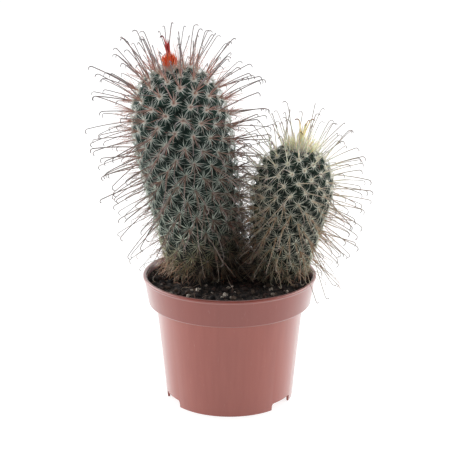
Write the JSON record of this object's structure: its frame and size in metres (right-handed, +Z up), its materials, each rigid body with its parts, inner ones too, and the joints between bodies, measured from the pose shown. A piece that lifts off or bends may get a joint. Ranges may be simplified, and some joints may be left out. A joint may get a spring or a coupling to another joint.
{
  "type": "potted mammillaria",
  "caption": "Two cactus stems, a tall one and a short one, with conical tubercles and long hooked spines, standing in soil in a round plastic nursery pot.",
  "frame": {"origin": "centre of the whole plant's footprint on the surface that it stands on, spines included", "axes": "+Z up, +X to the right as seen from the front, with the tall stem on the left, -Y towards the viewer"},
  "size_m": [0.1724, 0.1197, 0.2289],
  "materials": {
    "pot_plastic": "terracotta-coloured moulded plastic, satin",
    "soil": "dark damp potting soil with pale perlite grit",
    "tall_stem": "waxy blue-green skin with woolly areoles and red-brown to grey spines",
    "short_stem": "waxy green skin with woolly areoles and tan to grey spines",
    "red_spines": "young orange-red spines",
    "yellow_spines": "young greenish-yellow spines"
  },
  "bodies": {
    "root": {"pot": "pot_plastic", "soil": "soil", "tall_stem": "tall_stem", "short_stem": "short_stem", "tall_crown_tuft": "red_spines", "short_crown_tuft": "yellow_spines"}
  },
  "joints": []
}
